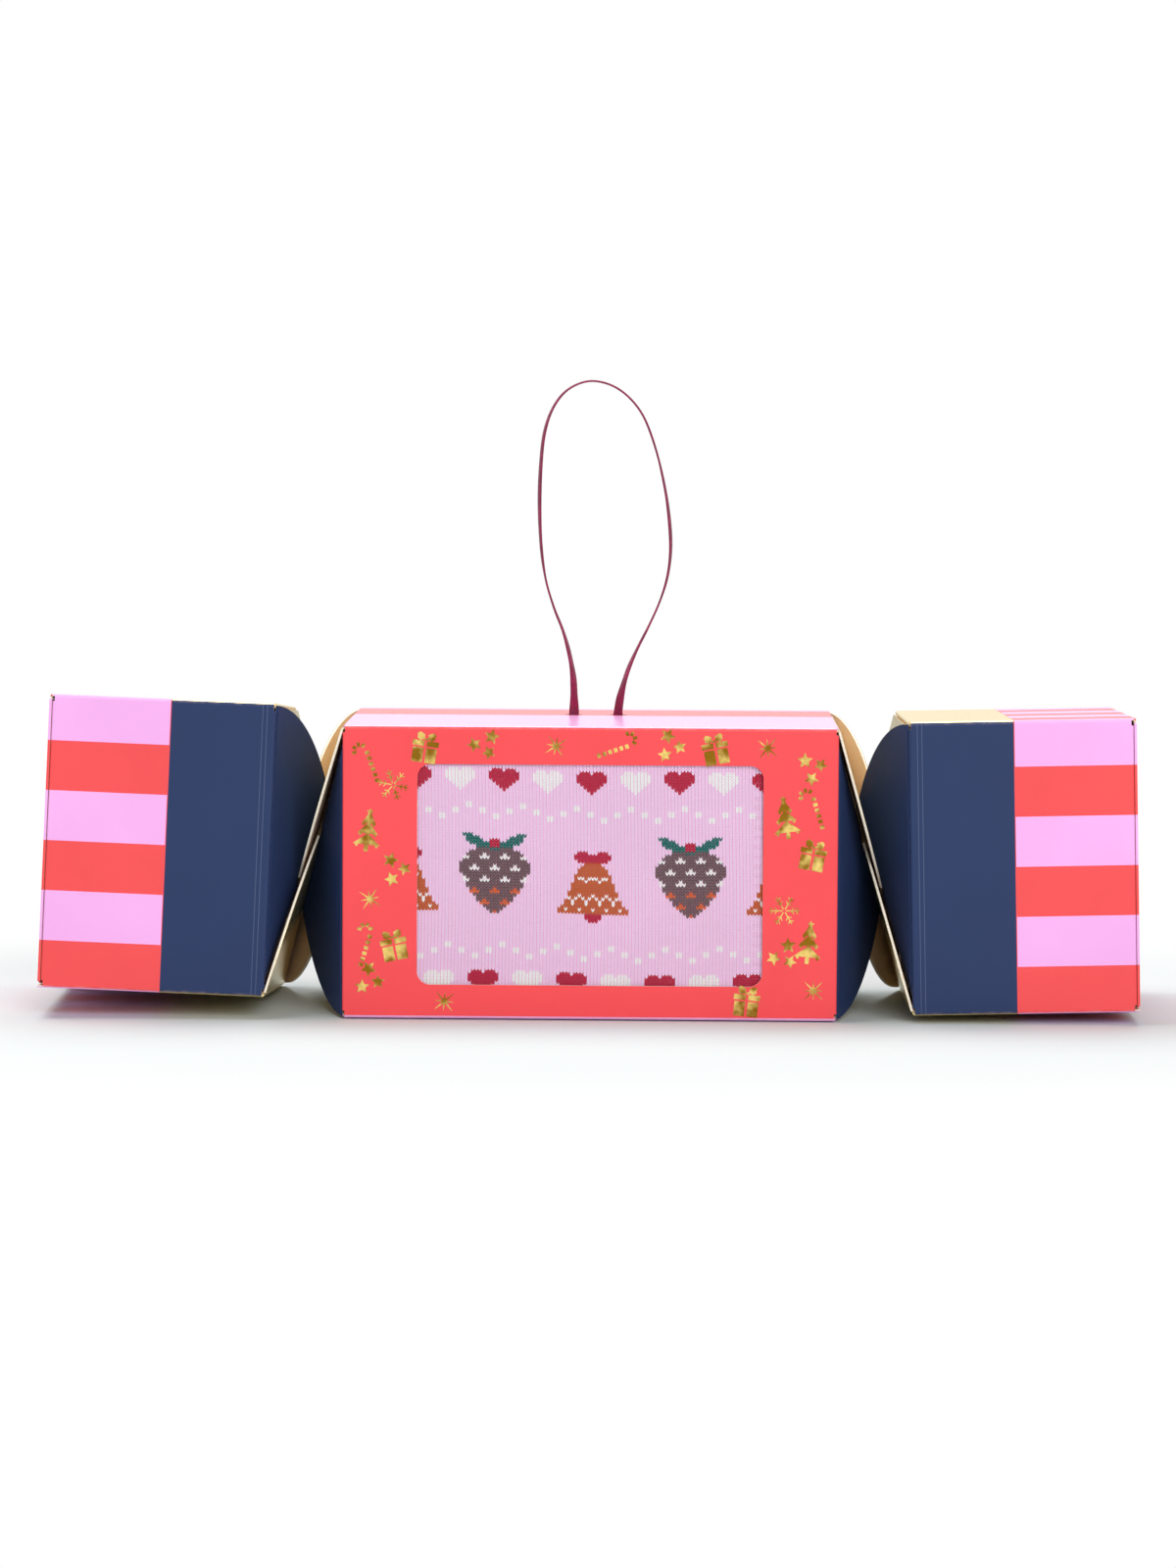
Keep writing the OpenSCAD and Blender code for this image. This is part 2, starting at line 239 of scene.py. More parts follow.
def finish_card(f, ink, printed, inside, wear=None, gloss=0.36, metal=None, waves=None):
    """Ink on the printed face, raw board inside and a pale cut edge, with fibres in both."""
    f.set("Specular IOR Level", 0.16)
    fibres = f.noise(1.0, 4.0, 0.6, f.squeeze(2.2, 2.2, 0.7))
    specks = f.noise(9.0, 2.0)
    raw = f.mix(f.soft(specks, 0.55, 0.75), BOARD_IN, srgb(214, 190, 163))
    cut = f.mix(f.soft(fibres, 0.35, 0.7), BOARD_EDGE, srgb(232, 219, 198))
    bare = f.mix(inside, cut, raw)
    if wear is not None:
        ink = f.mix(wear, ink, srgb(255, 226, 220))
    clouds = f.noise(0.05, 3.0)
    ink = f.mix(f.span(clouds, 0.3, 0.7, 0.0, 0.07), ink, (0.25, 0.2, 0.25, 1), "MULTIPLY")
    f.colour(f.mix(printed, bare, ink))
    grain = f.noise(3.5, 3.0, 0.6)
    f.link(f.calc("ADD", f.calc("MULTIPLY", printed, gloss - RAW_ROUGH),
                  f.span(grain, 0.3, 0.7, RAW_ROUGH - 0.04, RAW_ROUGH + 0.04)),
           f.shader.inputs["Roughness"])
    if metal is not None:
        f.link(f.both(printed, metal), f.shader.inputs["Metallic"])
    height = f.calc("ADD", f.calc("MULTIPLY", fibres, f.calc("SUBTRACT", 1.0, f.calc(
        "MULTIPLY", printed, 0.8))), f.calc("MULTIPLY", grain, 0.25))
    if waves is not None:
        height = f.calc("ADD", height, f.calc("MULTIPLY", waves, 9.0))
    f.bump(height, 0.05, 0.55)


PRINT_SKIN = 0.06
RAW_SKIN = 0.05
BEAD_SLACK = 0.02


def tube_masks(f, x, y, z, low, high, bead_low=True, bead_high=True):
    """Where a wall of the tube shows print, raw inside, and the worn long folds.

    A bead is the half-round crease that runs past the wall's end at low or high.
    """
    ay, az = f.calc("ABSOLUTE", y), f.calc("ABSOLUTE", z)
    flat = SIDE / 2 - FOLD_R
    qy, qz = f.calc("SUBTRACT", ay, flat), f.calc("SUBTRACT", az, flat)
    py, pz = f.calc("MAXIMUM", qy, 0.0), f.calc("MAXIMUM", qz, 0.0)
    away = f.calc("SQRT", f.calc("ADD", f.both(py, py), f.both(pz, pz)))
    depth = f.calc("ADD", away, f.calc("SUBTRACT", f.calc(
        "MINIMUM", f.calc("MAXIMUM", qy, qz), 0.0), FOLD_R))
    printed = f.above(depth, -PRINT_SKIN)
    outward = f.above(f.calc("MAXIMUM", ay, az), INNER / 2 + BEAD_SLACK)
    if bead_low:
        printed = f.either(printed, f.both(f.below(x, low - BEAD_SLACK), outward))
    if bead_high:
        printed = f.either(printed, f.both(f.above(x, high + BEAD_SLACK), outward))
    inside = f.below(depth, -BOARD + RAW_SKIN)
    fold = f.calc("MINIMUM", f.soft(qy, 0.0, 0.6), f.soft(qz, 0.0, 0.6))
    rubbed = f.both(fold, f.span(f.noise(0.4, 3.0, 0.6), 0.4, 0.8, 0.02, 0.22))
    return printed, inside, rubbed


CORAL_FROM, CORAL_TO = 7.5, 31
FOOT_LINE = 0.7


def print_centre(which):
    """A printed panel of the centre box: coral all over, but pink on the bottom and most of
    the top, and along the foot of the front and back."""
    f = Finish("print_centre_" + which)
    x, y, z = f.place((0, 0, SIDE / 2))
    printed, inside, rubbed = tube_masks(f, x, y, z, -CENTRE_LEN / 2, CENTRE_LEN / 2)
    if which == "top":
        ink = f.mix(f.above(y, CORAL_FROM), PINK, CORAL)
        ink = f.mix(f.above(y, CORAL_TO), ink, PINK)
    elif which == "bottom":
        ink = f.plain(PINK)
    else:
        ink = f.mix(f.below(z, -SIDE / 2 + FOOT_LINE), CORAL, PINK)
    finish_card(f, ink, printed, inside, rubbed, 0.26 if which == "top" else 0.36)
    if which == "top":
        f.set("Specular IOR Level", 0.55)
    f.done(nodes[which + "_panel"])


def end_frame(f, hand):
    """Coordinates along an end: x is 0 at its neck crease and falls towards its lid."""
    lag, tilt, rise = POSES[hand]
    left = hand == "left"
    loc = ((-1 if left else 1) * (CENTRE_LEN / 2 + NECK_GAP), 0, SIDE / 2 + rise)
    turn = (math.radians(-lag), math.radians(tilt if left else -tilt), 0)
    return f.place(loc, turn, 1 if left else -1)


def stripe_ink(f, along):
    """Stripes round the tube; the first is cut a little short, as the print lies."""
    run = f.calc("MODULO", f.calc("ADD", along, STRIPE_START), 2.0 * STRIPE)
    return f.mix(f.above(run, STRIPE), STRIPE_PINK, STRIPE_RED)


def over_the_top(f, y):
    """The way along the print on the top wall, back from the fold over the front.

    Whole pairs of stripes are added, so that it never goes below zero.
    """
    return f.calc("SUBTRACT", 8 * STRIPE - SIDE / 2, y)


SCORES = (-1.5, -2.6)
SCORE_HALF = 0.09
LID_GAP = 0.1


def print_end(hand, which):
    """A wall of an end: a plain band at the neck, then stripes round the tube."""
    f = Finish("print_%s_%s" % (hand, which))
    x, y, z = end_frame(f, hand)
    lid_face = END_LEN - BOARD
    reach = {"top": lid_face, "bottom": END_LEN}.get(which, lid_face - BOARD - LID_GAP)
    printed, inside, rubbed = tube_masks(f, x, y, z, -reach, 0, which != "bottom", True)
    along = {"front": f.calc("SUBTRACT", SIDE / 2, z), "bottom": f.calc("ADD", SIDE / 2, y),
             "back": f.calc("ADD", SIDE / 2, z), "top": over_the_top(f, y)}[which]
    stripes = stripe_ink(f, along)
    by_neck = f.above(x, -BAND)
    foil = which in ("top", "bottom")
    plain = f.plain(GOLD if foil else NAVY)
    if not foil:
        for at in SCORES:
            line = f.both(f.above(x, at - SCORE_HALF), f.below(x, at + SCORE_HALF))
            plain = f.mix(f.both(line, 0.22), plain, srgb(150, 160, 190))
    ink = f.mix(by_neck, stripes, plain)
    seam = f.both(f.above(x, -BAND - 0.2), f.below(x, -BAND))
    ink = f.mix(seam, ink, STRIPE_RED)
    if which in ("front", "back"):
        printed = f.either(printed, f.below(x, -reach + 0.03))
    metal = f.both(by_neck, 0.9) if foil else None
    finish_card(f, ink, printed, inside, rubbed, 0.27 if foil else 0.4, metal)
    f.done(nodes["%s_end_%s" % (hand, which)])


def print_lid(hand):
    """The lid carries the stripes of the top wall down over the open end."""
    f = Finish("print_%s_lid" % hand)
    x, y, z = end_frame(f, hand)
    sides = f.above(f.calc("ABSOLUTE", y), SIDE / 2 - 0.12)
    printed = f.either(f.either(sides, f.below(x, -END_LEN + 0.06)), f.both(
        f.below(z, -INNER / 2 + 0.88), f.below(x, -END_LEN + BOARD - 0.02)))
    inside = f.above(x, -END_LEN + BOARD - 0.06)
    ink = f.mix(sides, stripe_ink(f, over_the_top(f, y)),
                stripe_ink(f, f.calc("SUBTRACT", SIDE / 2, z)))
    finish_card(f, ink, printed, inside, None, 0.4)
    f.done(nodes[hand + "_lid"])


def plain_board(name, *members):
    """Uncoated board on both sides."""
    f = Finish(name, 0.88)
    f.place()
    fibres = f.noise(1.0, 4.0, 0.6, f.squeeze(2.0, 2.0, 0.8))
    specks = f.noise(9.0, 2.0)
    f.colour(f.mix(f.soft(specks, 0.55, 0.75), f.mix(
        f.soft(fibres, 0.3, 0.7), BOARD_IN, srgb(228, 204, 178)), srgb(206, 182, 155)))
    f.bump(fibres, 0.06, 0.6)
    for member in members:
        f.done(nodes[member])


# The neck's geometry, as in the model: corners of the tube and of the turned end
CORNERS = ((-0.5, 0.5), (-0.5, -0.5), (0.5, -0.5), (0.5, 0.5))


def corner(i):
    return Vector((0, CORNERS[i % 4][0] * INNER, CORNERS[i % 4][1] * INNER))


def end_corner(i, hand):
    lag, tilt, rise = POSES[hand]
    turn = Matrix.Rotation(math.radians(tilt), 3, "Y") @ Matrix.Rotation(math.radians(-lag), 3, "X")
    return turn @ corner(i + 1) + Vector((-NECK_GAP, 0, rise))


def print_flap(hand, ring, i):
    """A neck flap: navy on the front and back of the tube, gold foil on its top and bottom."""
    if ring == "inner":
        p, q, r = corner(i), corner(i + 1), end_corner(i + 1, hand)
    else:
        p, q, r = end_corner(i, hand), end_corner(i - 1, hand), corner(i - 1)
    along = (r - p).normalized()
    away = ((q - p) - ((q - p) @ along) * along).normalized()
    basis = Matrix((along, away, along.cross(away))).transposed()
    loc = p + Vector((-CENTRE_LEN / 2, 0, SIDE / 2))
    flip = 1
    if hand == "right":
        mirror = Matrix.Diagonal((-1, 1, 1))
        basis, loc, flip = mirror @ basis @ mirror, mirror @ loc, -1
    f = Finish("print_%s_%s_%s" % (hand, ring, SIDES[i]))
    x, y, z = f.place(loc, basis.to_euler("XYZ"), flip)
    hinge = Vector(((q - p) @ along, (q - p) @ away)).normalized()
    from_hinge = f.calc("ABSOLUTE", f.calc("SUBTRACT", f.both(x, hinge.y), f.both(y, hinge.x)))
    folded = f.either(f.below(from_hinge, BOARD + 0.12), f.below(y, 6.0))
    printed = f.either(f.above(z, FIN + BOARD - 0.05), f.both(folded, f.above(z, FIN + 0.02)))
    inside = f.below(z, FIN + 0.05)
    foil = SIDES[i] in ("top", "bottom")
    waves = f.noise(0.11, 1.5, 0.5, f.squeeze(1.6, 0.5, 1)) if foil else None
    finish_card(f, f.plain(GOLD if foil else NAVY), printed, inside, None, 0.24 if foil else 0.55,
                0.9 if foil else None, waves)
    f.set("Specular IOR Level", 0.06)
    f.done(nodes["%s_%s_flap_%s" % (hand, ring, SIDES[i])])


for side_name in SIDES:
    print_centre(side_name)
for hand_name in ("left", "right"):
    for number, side_name in enumerate(SIDES):
        print_end(hand_name, side_name)
        print_flap(hand_name, "inner", number)
        print_flap(hand_name, "outer", number)
    print_lid(hand_name)
plain_board("board_inside", "glue_flap", "sock_card", "left_end_glue_flap",
            "right_end_glue_flap", "left_lid_tongue", "right_lid_tongue",
            "left_dust_flap_front", "left_dust_flap_back", "right_dust_flap_front",
            "right_dust_flap_back")


# Modelling helpers
def clear():
    if bpy.context.object and bpy.context.object.mode != "OBJECT":
        bpy.ops.object.mode_set(mode="OBJECT")
    bpy.ops.object.select_all(action="DESELECT")


def named(name):
    made = bpy.context.object
    made.name = made.data.name = name
    return made


def edit(obj):
    clear()
    obj.select_set(True)
    bpy.context.view_layer.objects.active = obj
    bpy.ops.object.mode_set(mode="EDIT")
    bpy.ops.mesh.select_all(action="DESELECT")


def settle(obj):
    """Puts the object's place into its mesh."""
    clear()
    obj.select_set(True)
    bpy.context.view_layer.objects.active = obj
    bpy.ops.object.transform_apply(location=True, rotation=True, scale=True)


def pick(obj, test, kind="faces"):
    """Selects what passes the test, in edit mode."""
    mesh = bmesh.from_edit_mesh(obj.data)
    bpy.ops.mesh.select_mode(type={"faces": "FACE", "verts": "VERT", "edges": "EDGE"}[kind])
    for item in getattr(mesh, kind):
        item.select = bool(test(item))
    mesh.select_flush_mode()
    bmesh.update_edit_mesh(obj.data)


def apply(obj, kind, **settings):
    clear()
    obj.select_set(True)
    bpy.context.view_layer.objects.active = obj
    modifier = obj.modifiers.new(kind.title(), kind)
    for key, value in settings.items():
        setattr(modifier, key, value)
    bpy.ops.object.modifier_apply(modifier=modifier.name)


def arrays(obj):
    """Corner points and faces of a mesh, for laying copies."""
    points = np.zeros(len(obj.data.vertices) * 3)
    obj.data.vertices.foreach_get("co", points)
    return points.reshape(-1, 3), [tuple(p.vertices) for p in obj.data.polygons]


def spread(name, shape, places, smooth=True):
    """One mesh of many copies of a shape, each laid by its own matrix."""
    points, faces = shape
    matrices = np.array(places, float)
    turned = np.einsum("kij,nj->kni", matrices[:, :3, :3], points) + matrices[:, None, :3, 3]
    count = len(points)
    every = [[v + k * count for v in face] for k in range(len(matrices)) for face in faces]
    mesh = bpy.data.meshes.new(name)
    mesh.from_pydata(turned.reshape(-1, 3).tolist(), [], every)
    mesh.polygons.foreach_set("use_smooth", [smooth] * len(every))
    mesh.update()
    made = bpy.data.objects.new(name, mesh)
    scene.collection.objects.link(made)
    return made


def join(name, *members):
    clear()
    for member in members:
        member.select_set(True)
    bpy.context.view_layer.objects.active = members[0]
    if len(members) > 1:
        bpy.ops.object.join()
    return named(name)


def drop(obj):
    bpy.data.objects.remove(obj, do_unlink=True)


# Ribbon
HOLE_SHIFT, HOLE_Y, HOLE_STEP = 0.7, 11, 11.2
RIBBON_W, RIBBON_T = 2.6, 0.55
ROUTE = (
    (-5.6, -0.9), (-5.6, 4), (-5.9, 10), (-7, 16), (-8.6, 21.5), (-10.8, 27), (-12.9, 34),
    (-14.1, 42), (-14.6, 52), (-14.4, 62), (-13.5, 71), (-11.3, 77.5), (-7.7, 82), (-2.5, 84.2),
    (2.9, 83.4), (7.6, 80.4), (11.5, 75.4), (14.4, 68), (16.5, 60), (17.9, 52), (18.6, 43),
    (17.9, 35.5), (16, 29), (13.2, 22.6), (10.4, 17), (8, 11.4), (6.3, 5.4), (5.6, 1),
    (5.6, -0.9))
TURNS = (0.15, 0.58, 0.8, 0.94, 1, 1.12, 1.2, 1.15, 1.08, 1.03, 1, 0.98, 0.96, 1.07, 1.15, 1.08,
         1, 0.93, 0.76, 0.42, 0.15)


def catmull(points, per):
    points = [Vector(p) for p in points]
    ends = [2 * points[0] - points[1]] + points + [2 * points[-1] - points[-2]]
    out = []
    for i in range(1, len(ends) - 2):
        a, b, c, d = ends[i - 1:i + 3]
        for k in range(per):
            t = k / per
            out.append(0.5 * ((2 * b) + (c - a) * t + (2 * a - 5 * b + 4 * c - d) * t * t
                              + (3 * b - a - 3 * c + d) * t ** 3))
    return out + [points[-1]]


def woven_band(name, path, turns, width, thick, sides=10):
    """A ribbon swept along a path in millimetres, turned about it by the given quarter turns."""
    rings, uv_runs, run = [], [], 0.0
    last = len(path) - 1
    for i, point in enumerate(path):
        way = (path[min(i + 1, last)] - path[max(i - 1, 0)]).normalized()
        across = Vector((0, 1, 0)).cross(way).normalized()
        flatly = way.cross(across).normalized()
        t = i / last * (len(turns) - 1)
        k = min(int(t), len(turns) - 2)
        share = (1 - math.cos(math.pi * (t - k))) / 2
        a = math.pi / 2 * ((1 - share) * turns[k] + share * turns[k + 1])
        ring = []
        for j in range(sides):
            q = 2 * math.pi * (j + 0.5) / sides
            u = width / 2 * math.copysign(abs(math.cos(q)) ** 0.5, math.cos(q))
            v = thick / 2 * math.copysign(abs(math.sin(q)) ** 0.7, math.sin(q))
            ring.append((point + (u * math.cos(a) - v * math.sin(a)) * across
                         + (u * math.sin(a) + v * math.cos(a)) * flatly) * MM)
        if i:
            run += (path[i] - path[i - 1]).length
        uv_runs.append(run)
        rings.append(ring)
    vertices = [v for ring in rings for v in ring]
    faces = [[i * sides + j, i * sides + (j + 1) % sides, (i + 1) * sides + (j + 1) % sides,
              (i + 1) * sides + j] for i in range(last) for j in range(sides)]
    faces += [list(range(sides))[::-1], [last * sides + j for j in range(sides)]]
    mesh = bpy.data.meshes.new(name)
    mesh.from_pydata(vertices, [], faces)
    layer = mesh.uv_layers.new(name="weave")
    for face in mesh.polygons:
        if len(face.vertices) > 4:
            continue
        for corner_index, vertex in zip(face.loop_indices, face.vertices):
            i, j = divmod(vertex, sides)
            if j == 0 and max(v % sides for v in face.vertices) == sides - 1:
                j = sides
            layer.data[corner_index].uv = (uv_runs[i], j / sides)
    for face in mesh.polygons:
        face.use_smooth = True
    made = bpy.data.objects.new(name, mesh)
    scene.collection.objects.link(made)
    clear()
    made.select_set(True)
    bpy.context.view_layer.objects.active = made
    bpy.ops.object.mode_set(mode="EDIT")
    bpy.ops.mesh.select_all(action="SELECT")
    bpy.ops.mesh.normals_make_consistent(inside=False)
    bpy.ops.object.mode_set(mode="OBJECT")
    return made, run


RIB = 0.32


def satin():
    """Woven satin: fine ribs across, uneven threads and a soft gloss."""
    f = Finish("ribbon_satin", 0.42, 0.0, 0.06)
    f.set("Specular IOR Level", 0.3)
    f.set("Anisotropic", 0.6)
    uv = f.node("ShaderNodeUVMap", uv_map="weave")
    split = f.node("ShaderNodeSeparateXYZ")
    f.link(uv.outputs[0], split.inputs[0])
    f.vector = uv.outputs[0]
    ribs = f.calc("SINE", f.calc("MULTIPLY", split.outputs[0], 2 * math.pi / RIB))
    threads = f.noise(1.0, 3.0, 0.6, f.squeeze(0.6, 60, 1))
    blotch = f.noise(0.35, 2.0, 0.5, f.squeeze(1, 2, 1))
    tone = f.calc("ADD", f.calc("MULTIPLY", ribs, 0.12), f.calc("ADD", f.calc(
        "MULTIPLY", threads, 0.5), f.calc("MULTIPLY", blotch, 0.5)))
    f.colour(f.mix(f.soft(tone, 0.2, 0.85), srgb(92, 8, 44), srgb(168, 30, 88)))
    f.bump(f.calc("ADD", ribs, threads), 0.03, 0.7)
    return f


def add_ribbon():
    """The loop over the top, and under each hole a loose round knot of the same ribbon."""
    path = catmull([(HOLE_SHIFT + x, HOLE_Y, SIDE + z) for x, z in ROUTE], 5)
    loop, run = woven_band("ribbon", path, TURNS, RIBBON_W, RIBBON_T)
    weave = satin()
    weave.done(loop)
    for side in ("left", "right"):
        x = HOLE_SHIFT + (-HOLE_STEP / 2 if side == "left" else HOLE_STEP / 2)
        top = SIDE - 0.9
        knot_path = [Vector((x, HOLE_Y, top + 0.1)), Vector((x, HOLE_Y, top - 0.8))]
        for k in range(19):
            a = 2 * math.pi * k / 12
            radius = 1.75 + 0.35 * math.cos(1.5 * a)
            knot_path.append(Vector((x + radius * math.cos(a), HOLE_Y + radius * math.sin(a),
                                     top - 2.0 + 0.75 * math.sin(1.5 * a))))
        knot_path += [Vector((x + 0.5, HOLE_Y, top - 2.7)), Vector((x, HOLE_Y - 0.4, top - 3.8))]
        knot, _ = woven_band("knot_" + side, catmull(knot_path, 3), (0, 0.4, 0.9, 0.3), 1.7, 0.7,
                             8)
        weave.done(knot)
        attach(knot, "centre_box")
        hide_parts("ribbon_knot_" + side)
    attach(loop, "centre_box")
    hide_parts("ribbon_loop")


add_ribbon()


# Knitted socks
COL, ROW = 0.83, 0.70
COLS, ROWS = 108, 84
KNIT_X, KNIT_Z = -COLS * COL / 2, 64.8
SOCK_FACE = -INNER / 2 + 0.6
SWAY, SWAY_Z, SWAY_X = 0.35, 17, 60
YARNS = {"P": (255, 214, 246), "C": (190, 24, 62), "W": (255, 253, 255), "B": (112, 88, 92),
         "G": (198, 98, 48), "E": (12, 110, 102), "O": (226, 104, 48)}


def knit_chart():
    """Which yarn each stitch has, row by row from the top."""
    chart = [["P"] * COLS for _ in range(ROWS)]

    def dot(row, col, yarn):
        if 0 <= row < ROWS and 0 <= col < COLS:
            chart[row][col] = yarn

    def rows_of(row, col, halves, yarn):
        for r, half in enumerate(halves):
            for c in range(-half, half + 1):
                dot(row + r, col + c, yarn)

    def block(row, col, tall, wide, yarn):
        for r in range(tall):
            for c in range(wide):
                dot(row + r, col + c, yarn)

    def heart(row, col, yarn):
        for c in (-2, 2):
            rows_of(row, col + c, (1, 2), yarn)
        rows_of(row + 2, col, (4, 4, 3, 2, 1, 0), yarn)

    def lace(row, phase, step):
        """Two-stitch dots that climb and fall."""
        for k in range(-1, COLS // 4 + 2):
            rise = (0, 2, 4, 2)[k % 4]
            block(row + step * rise, 4 * k + phase, 2, 2, "W")

    def bell(row, col):
        for c in (-3, 3):
            rows_of(row, col + c, (1, 2, 2, 1), "C")
        block(row + 1, col - 1, 3, 3, "C")
        halves = (2, 3, 4, 4, 5, 5, 5, 6, 6, 6, 7, 7, 7, 8, 8, 9, 10, 10)
        rows_of(row + 4, col, halves, "G")
        for c in range(-9, 10):
            wave = (0, 1, 2, 1)[c % 4]
            if abs(c) <= 4:
                dot(row + 9 + wave // 2, col + c, "W")
            if abs(c) <= 7:
                dot(row + 15 + wave, col + c, "W")
            if abs(c) <= 7 and c % 4 == 2:
                dot(row + 16 + wave, col + c, "W")
        for c in (-8, -4, 0, 4, 8):
            dot(row + 20, col + c, "W")
        rows_of(row + 22, col, (2, 2, 1), "C")

    def cone(row, col):
        for k, (top, tall) in enumerate(((4, 3), (3, 4), (3, 3), (2, 4), (1, 4), (1, 3), (0, 4),
                                         (0, 3), (0, 1))):
            for sign in (-1, 1):
                block(row + top, col + sign * (k + 1), tall, 1, "E")
        rows_of(row + 2, col, (1, 1, 1), "C")
        halves = (5, 7, 8, 9, 9, 10, 10, 10, 10, 9, 9, 9, 8, 8, 7, 7, 6, 5, 5, 4, 3, 2, 1)
        rows_of(row + 5, col, halves, "B")
        for r, half in enumerate(halves):
            for c in range(-half, half + 1):
                step = (c + (3 if (r // 4) % 2 else 0)) % 6
                if r % 4 == 3 and step in (2, 3, 4):
                    dot(row + 5 + r, col + c, "W" if r < 14 else "O")
                if r % 4 == 2 and step == 3:
                    dot(row + 5 + r, col + c, "W" if r < 14 else "O")
        block(row + 5, col - 1, 1, 3, "E")

    for k in range(9):
        heart(5, 2 + 13 * k, "CW"[k % 2])
    lace(17, 1, 1)
    bell(33, 54)
    cone(28, 25)
    cone(28, 83)
    bell(33, -2)
    bell(33, 110)
    lace(70, 3, -1)
    for k in range(9):
        heart(76, 9 + 13 * k, "WC"[k % 2])
    return chart


def one_stitch():
    """A knit stitch: two plump legs that lean together at the foot."""
    legs = []
    for sign in (-1, 1):
        clear()
        bpy.ops.mesh.primitive_uv_sphere_add(segments=6, ring_count=4, radius=1)
        leg = named("leg")
        leg.scale = (0.235 * COL, 0.18 * COL, 0.80 * ROW)
        leg.rotation_euler = (math.radians(-9), math.radians(21 * sign), 0)
        leg.location = (sign * 0.235 * COL, 0, 0)
        settle(leg)
        edit(leg)
        pick(leg, lambda v: v.co.z > 0.5 * ROW, "verts")
        bpy.ops.transform.translate(value=(0, 0.05, 0))
        clear()
        legs.append(leg)
    stitch = join("stitch", *legs)
    shape = arrays(stitch)
    drop(stitch)
    return shape


def knit_slack(x, z):
    """How the cloth drifts: sag of its rows, and small waves of its face."""
    down = 0.55 * math.sin((x + 12) / 27) + 0.25 * math.sin(x / 9 + z / 31)
    side = SWAY * math.sin(z / SWAY_Z + x / SWAY_X)
    out = 0.10 * math.sin(x / 13 + 0.6) * math.sin(z / 11)
    return side, out, down


def yarn(name, rgb):
    """Spun yarn: twisted fibres with a soft sheen, and painted shade in the gaps between columns.
    """
    f = Finish("yarn_" + name, 0.85, 0.0, 0.12)
    f.set("Sheen Roughness", 0.6)
    f.set("Specular IOR Level", 0.2)
    x, y, z = f.place()
    drift = f.calc("SINE", f.calc("ADD", f.calc("DIVIDE", z, SWAY_Z), f.calc(
        "DIVIDE", x, SWAY_X)))
    between = f.calc("PINGPONG", f.calc("SUBTRACT", f.calc("SUBTRACT", x, KNIT_X), f.calc(
        "MULTIPLY", drift, SWAY)), COL / 2)
    strands = f.noise(9.0, 3.0, 0.6, f.squeeze(1.0, 1.0, 0.45))
    tint = f.noise(0.35, 2.0)
    colour = srgb(*rgb)
    dark = tuple(c * 0.92 for c in colour[:3]) + (1,)
    light = tuple(min(1.0, c * 1.12 + 0.012) for c in colour[:3]) + (1,)
    spun = f.mix(f.span(strands, 0.3, 0.7, 0.1, 0.95), f.mix(
        f.span(tint, 0.3, 0.7, 0.0, 0.25), dark, colour), light)
    # Painted shade: a pink-crimson tint is multiplied in along the edges of each stitch column,
    # where the gaps between columns lie in shadow.
    f.colour(f.mix(f.soft(between, 0.17, 0.03), spun, (1, 0.68, 0.82, 1), "MULTIPLY"))
    f.bump(strands, 0.05, 0.6)
    return f


def add_knit():
    """The face of the front sock, stitch by stitch, one piece to a yarn."""
    shape = one_stitch()
    chart = knit_chart()
    lots = {}
    rng = np.random.default_rng(7)
    for r in range(ROWS):
        for c in range(COLS):
            x, z = KNIT_X + (c + 0.5) * COL, KNIT_Z - (r + 0.5) * ROW
            side, out, down = knit_slack(x, z)
            turn = math.radians(0.55 * math.cos((x + 12) / 27) / 27 * 57.3)
            cos, sin = math.cos(-turn), math.sin(-turn)
            jog = rng.normal(0, 0.012, 3)
            place = [[cos * MM, 0, -sin * MM, (x + side + jog[0]) * MM],
                     [0, MM, 0, (SOCK_FACE + out + 0.12 + jog[1]) * MM],
                     [sin * MM, 0, cos * MM, (z - down + jog[2]) * MM]]
            kind = chart[r][c]
            if kind == "P":
                kind = "P%d" % (3 * r // ROWS)
            lots.setdefault(kind, []).append(place)
    names = {"C": "crimson", "W": "white", "B": "brown", "G": "ginger", "E": "green",
             "O": "orange"}
    pink = yarn("pink", YARNS["P"])
    for kind, places in sorted(lots.items()):
        name = "knit_pink_%s" % kind[1] if kind[0] == "P" else "knit_" + names[kind]
        piece = spread(name, shape, places)
        (pink if kind[0] == "P" else yarn(names[kind], YARNS[kind])).done(piece)
        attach(piece, "centre_box")


def sock_knit():
    """The plain knit of the socks away from the window, with a ribbed cuff at one end, and painted
    shade in its hollows.
    """
    f = Finish("knit_body", 0.85, 0.0, 0.12)
    f.set("Sheen Roughness", 0.6)
    x, y, z = f.place()
    lean = f.calc("PINGPONG", x, COL / 2)
    wale = f.calc("SINE", f.calc("MULTIPLY", x, 2 * math.pi / COL))
    course = f.calc("SINE", f.calc("MULTIPLY", f.calc("ADD", z, f.calc(
        "MULTIPLY", lean, 1.3)), 2 * math.pi / ROW))
    cuff = f.above(x, 40)
    ribs = f.calc("SINE", f.calc("MULTIPLY", z, 2 * math.pi / 2.4))
    height = f.calc("ADD", f.calc("ADD", f.calc("ABSOLUTE", wale), f.calc(
        "MULTIPLY", course, 0.5)), f.calc("MULTIPLY", f.both(cuff, ribs), 2.0))
    # Painted shade: the colour darkens from the yarn's pink towards a deeper pink where the knit's
    # height is low, in the hollows between wales, courses and cuff ribs.
    shade = f.span(height, -0.5, 1.6, 0.0, 1.0)
    f.colour(f.mix(shade, srgb(222, 120, 172), srgb(*YARNS["P"])))
    f.bump(height, 0.15, 0.8)
    return f


SOCK_CORNER, SOCK_RIM = 7, 0.9
LAYER_EDGE, LAYER_DIP = 0.35, 1.1


